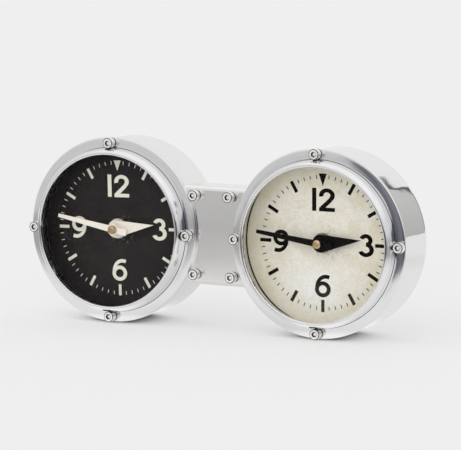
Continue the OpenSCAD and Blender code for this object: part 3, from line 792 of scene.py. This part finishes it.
def grain_group():
    """Fine all-over grain: a mask and a normal."""
    tree, given, result = new_group("grain", {"Scale": 2500.0, "Depth": 0.2}, ("Mask", "Normal"))
    mask = noise_value(tree, given["Vector"], given["Scale"], 4.0, 0.6)
    feed(tree, result, {"Mask": mask, "Normal": bump(tree, given["Depth"], 0.0001, mask)})
    return tree


def stain_group():
    """Age of a printed dial: a stained rim, clouds, specks with chips near the hub, fine fibres
    and a coarser mottle."""
    tree, given, result = new_group(
        "stains",
        {"Rim Start": 0.030, "Rim End": 0.054, "Cloud Scale": 90.0},
        ("Rim", "Cloud", "Speck", "Fibre", "Mottle"),
    )
    vector = given["Vector"]
    radius = axis_distance(tree, vector)
    cloud = noise_value(tree, vector, given["Cloud Scale"], 7.0, 0.62, 0.4)
    shift = product(tree, maths(tree, "SUBTRACT", cloud, 0.5), 0.030)
    rim = spread(tree, total(tree, radius, shift), given["Rim Start"], given["Rim End"])
    small = spread(tree, noise_value(tree, vector, 1700.0, 3.0, 0.7), 0.60, 0.70)
    chipped = spread(tree, noise_value(tree, vector, 420.0, 3.0, 0.7), 0.58, 0.62)
    chips = product(tree, chipped, spread(tree, radius, 0.007, 0.016, 1.0, 0.0))
    outputs = {
        "Rim": rim,
        "Cloud": cloud,
        "Speck": maths(tree, "MAXIMUM", small, chips),
        "Fibre": noise_value(tree, vector, 1900.0, 2.0),
        "Mottle": noise_value(tree, vector, 620.0, 3.0, 0.75),
    }
    feed(tree, result, outputs)
    return tree


# Materials


def axis_point(side):
    """Where a clock's axis meets the rim of its case, in metres."""
    return (CLOCKS[side]["x"], RIM_Y, AXIS_Z)


def new_material(name, centre=None):
    """A material and its Principled shader, with object coordinates measured from a centre."""
    material = bpy.data.materials.new(name)
    material.use_nodes = True
    tree = material.node_tree
    vector = add(tree, "ShaderNodeTexCoord").outputs["Object"]
    if centre:
        inputs = {"Vector": vector, "Location": tuple(-c for c in centre)}
        vector = add(tree, "ShaderNodeMapping", inputs).outputs["Vector"]
    return material, tree, tree.nodes["Principled BSDF"], vector


def group_outputs(tree, group, inputs):
    return add(tree, "ShaderNodeGroup", inputs, node_tree=GROUPS[group]).outputs


def turned_metal(name, centre, bright, dull, roughness, rings, waves, lip=None):
    """Metal from the lathe. Rings and waves have a depth and a scale. Outside the lip's radius the
    metal is duller than on the lip."""
    material, tree, shader, vector = new_material(name, centre)
    inputs = {"Ring Depth": rings[0], "Ring Scale": rings[1]}
    inputs.update({"Wave Depth": waves[0], "Wave Scale": waves[1]})
    marks = group_outputs(tree, "turned", {"Vector": vector, **inputs})
    worn = total(tree, product(tree, marks["Rings"], 0.6), product(tree, marks["Smudge"], 0.4))
    rough = spread(tree, worn, 0.3, 0.7, *roughness)
    if lip:
        outside = spread(tree, axis_distance(tree, vector), lip, lip + 0.0005, 0.5, 1.0)
        rough = product(tree, rough, outside)
    colour = blend_colours(tree, spread(tree, worn, 0.3, 0.7), bright, dull)
    inputs = {"Base Color": colour, "Roughness": rough, "Normal": marks["Normal"], "Metallic": 1.0}
    feed(tree, shader.inputs, inputs)
    return material


def grained(
    name, colour, second, roughness, scale, depth, metallic=0.0, coat=0.0, gloss=0.5, reflected_veil=None
):
    """Paint, plastic, rubber or plain metal with a fine grain between two shades. Print with a
    reflected veil turns to that colour low on the dial, a painted reflection of the glass."""
    material, tree, shader, vector = new_material(name)
    grain = group_outputs(tree, "grain", {"Vector": vector, "Scale": scale, "Depth": depth})
    shade = blend_colours(tree, spread(tree, grain["Mask"], 0.35, 0.65), colour, second)
    # Painted reflection: the glass's veil lightens the print low on the dial
    if reflected_veil:
        low = spread(tree, components(tree, vector)["Z"], 0.043, 0.026)
        shade = blend_colours(tree, low, shade, reflected_veil)
    rough = spread(tree, grain["Mask"], 0.3, 0.7, roughness * 0.85, roughness * 1.15)
    inputs = {"Base Color": shade, "Roughness": rough, "Normal": grain["Normal"]}
    feed(tree, shader.inputs, inputs)
    constants = {"Metallic": metallic, "Coat Weight": coat, "Specular IOR Level": gloss}
    feed(tree, shader.inputs, constants)
    return material


def dial_paint(side, name, field, cloudy, stained, speck, roughness, mottle, rim, stain, pale=None):
    """Aged paint: clouds in the field, a stained rim, specks, and a pale patch low on the dial
    that is partly paler paint and partly a painted reflection of the glass.
    """
    material, tree, shader, vector = new_material(name, axis_point(side))
    stains = group_outputs(
        tree, "stains", {"Vector": vector, "Rim Start": rim[0], "Rim End": rim[1]}
    )
    colour = blend_colours(tree, spread(tree, stains["Cloud"], 0.42, 0.62), field, cloudy)
    # Partly paler paint, partly a painted reflection of the glass
    if pale:
        inputs = {0: vector, 1: PALE_AND_SHEEN_PATCH}
        apart = add(tree, "ShaderNodeVectorMath", inputs, operation="SUBTRACT").outputs[0]
        patch = spread(tree, axis_distance(tree, apart), 0.008, 0.036, 0.9, 0.0)
        colour = blend_colours(tree, patch, colour, pale)
    mottled = spread(tree, stains["Mottle"], 0.42, 0.66, 0.0, mottle)
    fibrous = spread(tree, stains["Fibre"], 0.40, 0.70, 0.0, 0.30)
    colour = blend_colours(tree, mottled, colour, speck)
    colour = blend_colours(tree, product(tree, stains["Rim"], stain), colour, stained)
    colour = blend_colours(tree, product(tree, stains["Speck"], 0.55), colour, speck)
    colour = blend_colours(tree, fibrous, colour, stained)
    rough = spread(tree, stains["Cloud"], 0.3, 0.7, roughness - 0.06, roughness + 0.06)
    normal = bump(tree, 0.12, 0.0001, stains["Fibre"])
    feed(tree, shader.inputs, {"Base Color": colour, "Roughness": rough, "Normal": normal})
    shader.inputs["Specular IOR Level"].default_value = 0.3
    return material


def clear_glass():
    """Clear glass that lets lamp light through to the dial."""
    material, tree, shader, vector = new_material("clear glass")
    inputs = {
        "Base Color": (0.985, 0.992, 0.988, 1.0),
        "IOR": 1.46,
        "Transmission Weight": 1.0,
        "Specular Tint": (0.03, 0.03, 0.03, 1.0),
        "Roughness": spread(tree, noise_value(tree, vector, 35.0), 0.55, 0.8, 0.0, 0.02),
    }
    feed(tree, shader.inputs, inputs)
    clear = add(tree, "ShaderNodeBsdfTransparent", {"Color": (0.97, 0.98, 0.975, 1.0)}).outputs[0]
    rays = add(tree, "ShaderNodeLightPath").outputs
    lit = maths(tree, "MAXIMUM", rays["Is Shadow Ray"], rays["Is Diffuse Ray"])
    surface = mix_shaders(tree, lit, shader.outputs[0], clear)
    tree.links.new(surface, tree.nodes["Material Output"].inputs["Surface"])
    return material


# Turned finishes of each clock: name, bright and dull shade, lowest and highest roughness, depth
# and scale of the rings, depth and scale of the waves, and the radius where the lip ends
TURNED = {
    "case": (
        "polished case", (0.925, 0.925, 0.925), (0.90, 0.90, 0.90),
        (0.03, 0.05), (0.03, 900.0), (0.08, 40.0),
    ),
    "bezel": (
        "polished bezel", (0.92, 0.92, 0.925), (0.885, 0.885, 0.895),
        (0.07, 0.11), (0.22, 1500.0), (0.08, 50.0), 0.054,
    ),
    "cover": (
        "turned cover", (0.88, 0.88, 0.88), (0.82, 0.82, 0.825),
        (0.22, 0.34), (0.45, 1800.0), (0.04, 60.0),
    ),
    "brass": (
        "brass", (0.66, 0.43, 0.20), (0.55, 0.34, 0.145),
        (0.22, 0.36), (0.20, 4000.0), (0.05, 200.0),
    ),
}
BRIDGE = (
    "satin bridge", None, (0.957, 0.945, 0.93), (0.937, 0.925, 0.91),
    (0.17, 0.21), (0.0, 100.0), (0.05, 50.0),
)

# Where the pale patch of a dial lies from its centre, in metres; it is partly paler paint and
# partly a painted reflection of the glass
PALE_AND_SHEEN_PATCH = (-0.008, 0.0, -0.034)

# Shades of the paint, its roughness, how strong its mottle and its rim's stain are, and the radii
# between which that stain grows
DIAL_PAINT = {
    "left": {
        "name": "black dial paint",
        "field": (0.0140, 0.0085, 0.0100),
        "cloudy": (0.0200, 0.0145, 0.0152),
        "stained": (0.0100, 0.0070, 0.0078),
        "speck": (0.22, 0.20, 0.19),
        "roughness": 0.6,
        "mottle": 0.025,
        "rim": (0.030, 0.056),
        "stain": 0.8,
    },
    "right": {
        "name": "aged cream dial",
        "field": (0.925, 0.872, 0.79),
        "cloudy": (0.845, 0.78, 0.66),
        "stained": (0.87, 0.78, 0.56),
        "speck": (0.36, 0.30, 0.20),
        "roughness": 0.55,
        "mottle": 0.18,
        "rim": (0.030, 0.057),
        "stain": 0.50,
        # Partly paler paint, partly a painted reflection of the glass
        "pale": (0.99, 0.968, 0.955),
    },
}

# Grained finishes: name, two shades, roughness, scale and depth of the grain, and what else
# differs from plain paint
GRAINED = {
    "steel": (
        "stainless steel", (0.99, 0.97, 0.945), (0.93, 0.905, 0.875),
        0.28, 1500.0, 0.1, {"metallic": 0.5},
    ),
    # Pale brass: a painted highlight on the bevel of the hands' cap
    "painted_highlight_edge": (
        "painted highlight brass edge", (0.98, 0.90, 0.78), (0.93, 0.83, 0.69),
        0.15, 1500.0, 0.05, {"metallic": 0.9},
    ),
    # A darker copy of steel, a painted shade; on the right shaft washer and the back cover's screws
    "washer": (
        "painted shade washer", (0.42, 0.39, 0.385), (0.34, 0.31, 0.305),
        0.35, 1500.0, 0.1, {"metallic": 0.9},
    ),
    # A paler copy of steel: a painted highlight on the bottom of a screw's socket
    "socket": (
        "painted highlight socket", (1.0, 0.98, 0.95), (0.95, 0.925, 0.89),
        0.25, 1500.0, 0.1, {"metallic": 0.2},
    ),
    # A darker copy of steel: painted shade on the edge of a screw's head
    "painted_shade_edge": (
        "painted shade steel edge", (0.16, 0.135, 0.115), (0.10, 0.085, 0.07),
        0.36, 2600.0, 0.3, {"metallic": 1.0},
    ),
    # Black that stands in for shade: painted shadow in gaps, grooves, pockets and sockets
    "seam": ("painted shadow black", (0.012, 0.011, 0.010), (0.022, 0.020, 0.018), 0.5, 2600.0, 0.2, {}),
    "left_print": ("cream print", (0.93, 0.90, 0.78), (0.85, 0.82, 0.69), 0.6, 1800.0, 0.1, {}),
    # The black print lightens low on the dial, a painted reflection of the glass
    "right_print": (
        "black print", (0.0045, 0.0035, 0.0025), (0.008, 0.0065, 0.005),
        0.55, 1800.0, 0.1, {"gloss": 0.05, "reflected_veil": (0.040, 0.038, 0.036)},
    ),
    "left_hand": (
        "cream hand paint", (0.99, 0.91, 0.83), (0.94, 0.85, 0.76), 0.45, 1200.0, 0.08, {}
    ),
    "right_hand": (
        "black hand paint", (0.0045, 0.004, 0.0035), (0.008, 0.0075, 0.007),
        0.4, 1200.0, 0.08, {"gloss": 0.06},
    ),
    "rubber": ("black rubber", (0.012, 0.012, 0.012), (0.02, 0.02, 0.02), 0.7, 1500.0, 0.3, {}),
    "black_plastic": (
        "black plastic", (0.014, 0.014, 0.015), (0.022, 0.022, 0.023), 0.45, 3500.0, 0.25, {}
    ),
    "white_plastic": (
        "natural plastic", (0.74, 0.72, 0.66), (0.68, 0.66, 0.60), 0.4, 2500.0, 0.15, {}
    ),
    "red_plastic": ("red plastic", (0.55, 0.03, 0.02), (0.46, 0.02, 0.015), 0.35, 2500.0, 0.15, {}),
    "battery": (
        "battery sleeve", (0.05, 0.07, 0.10), (0.08, 0.10, 0.13), 0.25, 900.0, 0.05, {"coat": 0.4}
    ),
    "copper": (
        "copper winding", (0.62, 0.28, 0.14), (0.45, 0.19, 0.09),
        0.35, 2500.0, 0.4, {"metallic": 1.0},
    ),
    "board": (
        "circuit board", (0.03, 0.14, 0.06), (0.02, 0.10, 0.045), 0.35, 2200.0, 0.1, {"coat": 0.3}
    ),
}


def make_materials():
    made = {"bridge": turned_metal(*BRIDGE), "glass": clear_glass()}
    for side in CLOCKS:
        made[side + "_dial"] = dial_paint(side, **DIAL_PAINT[side])
        for key, (name, *values) in TURNED.items():
            made[side + "_" + key] = turned_metal(side + " " + name, axis_point(side), *values)
    for key, (*values, others) in GRAINED.items():
        made[key] = grained(*values, **others)
    return made


# The clocks and the bridge

# A screw's finishes by index: steel, painted shade on the head's edge, painted shadow, painted
# highlight
SCREW_FINISHES = ("steel", "painted_shade_edge", "seam", "socket")

# Finishes of the nodes of each clock that keep their own shape
KEPT = {
    "glass": "glass",
    "glass_gasket": "rubber",
    "glass_ring": "cover",
    "dial": "dial",
    "back_cover": "cover",
    "back_cover_screws": "washer",
    "movement_case": "black_plastic",
    "movement_cover": "black_plastic",
    "train_plate": "white_plastic",
    "movement_seal": "rubber",
    "shaft_nut": "brass",
    "cannon_pinion": "brass",
    "minute_wheel": "white_plastic",
    "hour_wheel": "white_plastic",
    "setting_knob": "red_plastic",
    "battery": "battery",
    "battery_contacts": "steel",
    "stepper_coil": "copper",
    "circuit_board": "board",
}


def make_clock(side, materials):
    clock = CLOCKS[side]
    hand_slot = clock["hand_slot"]
    place = clock_place(clock["x"])
    hour_place = place @ clockwise(clock["dial_turn"] + HOUR_ANGLE)
    minute_place = place @ clockwise(clock["dial_turn"] + clock["minute_angle"])
    hours, minutes = side + "_hour_arbor", side + "_minute_arbor"

    def finish(name):
        own = side + "_" + name
        return materials[own if own in materials else name]

    screws, pointer = bezel_screws(side), minute_hand(side)
    for name, bm, where, finishes, body, node, slot in (
        ("drum", case_drum(), place, ("case", "seam", "dial"), "body", "case", "case_aluminium"),
        ("rim", bezel_ring(side), place, ("bezel", "seam"), "body", "bezel", "bezel_aluminium"),
        ("cap_screws", screws, place, SCREW_FINISHES, "body", "bezel_screws", "screw_steel"),
        ("dial_print", dial_print(side), place, ("print",), "body", None, hand_slot),
        ("hour_pointer", hour_hand(), hour_place, ("hand",), hours, "hour_hand", hand_slot),
        ("minute_pointer", pointer, minute_place, ("hand",), minutes, "minute_hand", hand_slot),
        ("cap", hand_cap(), place, ("brass", "painted_highlight_edge"), minutes, "hand_cap", "brass"),
    ):
        finish_piece(
            side + "_" + name,
            bm,
            where,
            [finish(key) for key in finishes],
            body,
            [side + "_" + node] if node else [],
            sharp=RIM_SHARP if name == "rim" else SHARP,
            weighted=name != "dial_print",
        )
    for node, key in {**KEPT, "shaft_washer": clock["shaft_washer"]}.items():
        dress(side + "_" + node, finish(key))


def make_bridge(materials):
    dress("bridge_block", materials["bridge"])
    dress("bridge_back_plate", materials["bridge"])
    dress("bridge_side_screws", materials["steel"])
    finishes = [materials[key] for key in SCREW_FINISHES]
    finish_piece(
        "bridge_cap_screws",
        bridge_screws(),
        clock_place(0.0),
        finishes,
        "body",
        ["bridge_front_screws"],
    )


# Studio

# Where each drum stands on the floor: the middle of its line of contact and half its length
FOOT_Y = 0.006
FOOT_HALF = 0.0165

FLOOR_LEVEL = (0.866, 0.866, 0.866)
FLOOR_SHADES = ((0.862, 0.862, 0.862), (0.873, 0.873, 0.872))
BACKGROUND = (0.863, 0.863, 0.863, 1.0)
WHITE = (1.0, 1.0, 1.0, 1.0)
WARM = (1.0, 0.995, 0.97, 1.0)
COOL = (0.985, 0.99, 1.03, 1.0)
BLUE = (0.94, 0.96, 1.12, 1.0)

# The torn upper edge of the grey board behind the right clock: its place across the board and
# its height
BOARD_EDGE = (
    (-0.140, 0.320),
    (-0.122, 0.310),
    (-0.102, 0.299),
    (-0.082, 0.286),
    (-0.060, 0.266),
    (-0.059, 0.257),
    (-0.056, 0.247),
    (-0.054, 0.243),
    (-0.045, 0.231),
    (-0.040, 0.223),
    (-0.034, 0.214),
)


def hypotenuse(tree, across, along):
    squares = [product(tree, side, side) for side in (across, along)]
    return maths(tree, "SQRT", total(tree, *squares))


def mirrored_level(tree, parts, away, from_clock):
    """How bright the floor is in polished metal: dimmer in front and far away, brighter close to
    the drums and far off to the left."""
    front = product(
        tree, spread(tree, away, 0.20, 0.42), spread(tree, parts["Y"], 0.30, 0.05)
    )
    distant = product(
        tree, spread(tree, away, 0.55, 0.90), spread(tree, parts["X"], -0.15, -0.50), 0.27
    )
    return total(
        tree,
        spread(tree, front, 0.0, 1.0, 0.94, 0.44, "LINEAR"),
        distant,
        spread(tree, from_clock, 0.012, 0.035, 0.26, 0.0),
        spread(tree, away, 0.03, 0.12, -0.14, 0.0),
    )


def make_floor():
    """A wide pale floor. The camera sees it lit evenly, with the shadow of the clocks darkened
    close under the drums; polished metal sees it at its mirrored level."""
    bm = bmesh.new()
    bmesh.ops.create_grid(bm, x_segments=8, y_segments=8, size=12.0)
    floor = new_object("floor", new_mesh("floor", bm))
    material, tree, shader, vector = new_material("pale floor")
    parts = components(tree, vector)
    away = vector_length(tree, vector)
    beside = maths(tree, "SUBTRACT", maths(tree, "ABSOLUTE", parts["X"]), CLOCK_X)
    along = maths(tree, "ABSOLUTE", maths(tree, "SUBTRACT", parts["Y"], FOOT_Y))
    past = maths(tree, "MAXIMUM", maths(tree, "SUBTRACT", along, FOOT_HALF), 0.0)
    from_clock = hypotenuse(tree, beside, past)
    under = hypotenuse(tree, product(tree, beside, 0.45), past)

    rays = add(tree, "ShaderNodeLightPath").outputs
    dim = maths(tree, "SUBTRACT", mirrored_level(tree, parts, away, from_clock), 1.0)
    level = total(tree, product(tree, dim, rays["Is Glossy Ray"]), 1.0)
    # Painted shadow: the floor's colour darkens close under the drums
    contact = spread(tree, under, 0.0, 0.011, 0.14, 1.0)
    shade = blend_colours(tree, noise_value(tree, vector, 400.0, 2.0), *FLOOR_SHADES)
    dark = grey(tree, product(tree, level, contact))
    inputs = {
        "Base Color": blend_colours(tree, 1.0, shade, dark, "MULTIPLY"),
        "Roughness": 0.6,
        "Specular IOR Level": 0.0,
    }
    feed(tree, shader.inputs, inputs)

    straight = maths(tree, "LESS_THAN", rays["Diffuse Depth"], 0.5)
    open_mirrored = spread(tree, from_clock, 0.001, 0.007)
    mirrored = product(tree, rays["Is Glossy Ray"], straight, product(tree, open_mirrored, 0.88))
    open_floor = product(tree, spread(tree, under, 0.001, 0.019), 0.60)
    seen = total(tree, product(tree, rays["Is Camera Ray"], open_floor), mirrored)
    even = blend_colours(tree, 1.0, FLOOR_LEVEL, grey(tree, level), "MULTIPLY")
    glow = add(tree, "ShaderNodeEmission", {"Color": even, "Strength": 1.0}).outputs[0]
    surface = mix_shaders(tree, seen, shader.outputs[0], glow)
    tree.links.new(surface, tree.nodes["Material Output"].inputs["Surface"])
    floor.data.materials.append(material)


def upright(x, y, turn):
    """The place of a board that stands at x, y, with its face turned about the vertical."""
    return (
        Matrix.Translation((x, y, 0))
        @ Matrix.Rotation(math.radians(turn), 4, "Z")
        @ Matrix.Rotation(math.pi / 2, 4, "X")
    )


def shaped_board(name, place, corners, levels, colour):
    """A board that only polished surfaces see, cut to its corners; its level runs up its height."""
    bm = moved(Outline(*corners[0]).line(*corners[1:]).filled(), place)
    board = new_object(name, new_mesh(name, bm))
    heights = [height for across, height in corners]
    material = bpy.data.materials.new(name)
    material.use_nodes = True
    tree = material.node_tree
    tree.nodes.clear()
    height = components(tree, add(tree, "ShaderNodeTexCoord").outputs["Object"])["Z"]
    level = spread(tree, height, min(heights), max(heights), *levels, "LINEAR")
    glow = add(tree, "ShaderNodeEmission", {"Color": colour, "Strength": level}).outputs[0]
    add(tree, "ShaderNodeOutputMaterial", {"Surface": glow})
    board.data.materials.append(material)
    board.visible_camera = False
    board.visible_diffuse = False
    board.visible_shadow = False
    board.visible_transmission = False


def front_board(name, x, width, levels):
    """A dark board standing in front of the clocks, for the dark bands on their lips."""
    half, y, height = width / 2, -0.28, 0.123
    corners = ((-half, 0.0), (half, 0.0), (half, height), (-half, height))
    shaped_board(name, upright(x, y, 0), corners, levels, BLUE)


def make_sun(name, azimuth, elevation, width, strength):
    """A soft lamp at infinity; azimuth, elevation and width are in degrees."""
    data = bpy.data.lights.new(name, "SUN")
    data.angle = math.radians(width)
    data.energy = strength
    lamp = new_object(name, data)
    around = Matrix.Rotation(math.radians(azimuth), 4, "Z")
    lamp.matrix_world = around @ Matrix.Rotation(math.radians(90 - elevation), 4, "X")
    lamp.visible_glossy = False


def make_world():
    """Even light from all around. Polished surfaces see a room that is dim at the horizon and
    brighter above and behind, and the camera sees the pale background."""
    world = bpy.data.worlds.new("studio")
    bpy.context.scene.world = world
    world.use_nodes = True
    tree = world.node_tree
    tree.nodes.clear()
    parts = components(tree, add(tree, "ShaderNodeTexCoord").outputs["Generated"])
    low = spread(tree, parts["Z"], -0.05, 0.22, 0.40, 0.70)
    high = spread(tree, parts["Z"], 0.22, 0.70, 0.0, 0.10)
    above = spread(tree, parts["Z"], 0.70, 0.85, 0.0, 0.12)
    left = product(
        tree, spread(tree, parts["X"], -0.1, -0.4), spread(tree, parts["Z"], 0.10, 0.25, 0.14, 0.0)
    )
    right = product(
        tree, spread(tree, parts["X"], 0.2, 0.9), spread(tree, parts["Z"], 0.3, 0.6, 0.0, 0.14)
    )
    behind = product(tree, spread(tree, parts["Y"], 0.78, 0.885), 0.845)
    room = total(tree, low, high, left, right, above)
    level = maths(tree, "MAXIMUM", room, behind)

    def glow(colour, strength):
        inputs = {"Color": colour, "Strength": strength}
        return add(tree, "ShaderNodeBackground", inputs).outputs[0]

    rays = add(tree, "ShaderNodeLightPath").outputs
    lit = mix_shaders(tree, rays["Is Glossy Ray"], glow(WHITE, 0.80), glow(WHITE, level))
    surface = mix_shaders(tree, rays["Is Camera Ray"], lit, glow(BACKGROUND, 1.0))
    add(tree, "ShaderNodeOutputWorld", {"Surface": surface})


def make_studio():
    make_floor()
    make_world()
    make_sun("key light", azimuth=-42, elevation=58, width=75, strength=0.5)
    make_sun("front light", azimuth=5, elevation=22, width=60, strength=0.5)
    front_board("front board", x=0.045, width=0.050, levels=(0.13, 0.27))
    front_board("front board left", x=0.002, width=0.036, levels=(0.05, 0.16))
    front_board("front board right", x=0.26, width=0.380, levels=(0.06, 0.12))

    place = upright(0.26, 0.36, -35)
    body = BOARD_EDGE + ((-0.034, 0.060), (0.070, 0.060), (0.070, 0.400))
    rim = tuple((across - 0.0068, height - 0.0044) for across, height in reversed(BOARD_EDGE))
    side = ((-0.034, 0.214), (-0.034, 0.060), (-0.085, 0.060), (-0.085, 0.200))
    shaped_board("back board", place, body, (0.47, 0.66), WARM)
    shaped_board("back board edge", place, BOARD_EDGE + rim, (0.07, 0.07), COOL)
    shaped_board("back board side", place, side, (0.12, 0.12), COOL)
    bpy.context.scene.view_settings.view_transform = "Standard"


make_camera()
GROUPS = {"turned": turning_marks_group(), "grain": grain_group(), "stains": stain_group()}
MATERIALS = make_materials()
for clock_side in CLOCKS:
    make_clock(clock_side, MATERIALS)
make_bridge(MATERIALS)
make_studio()
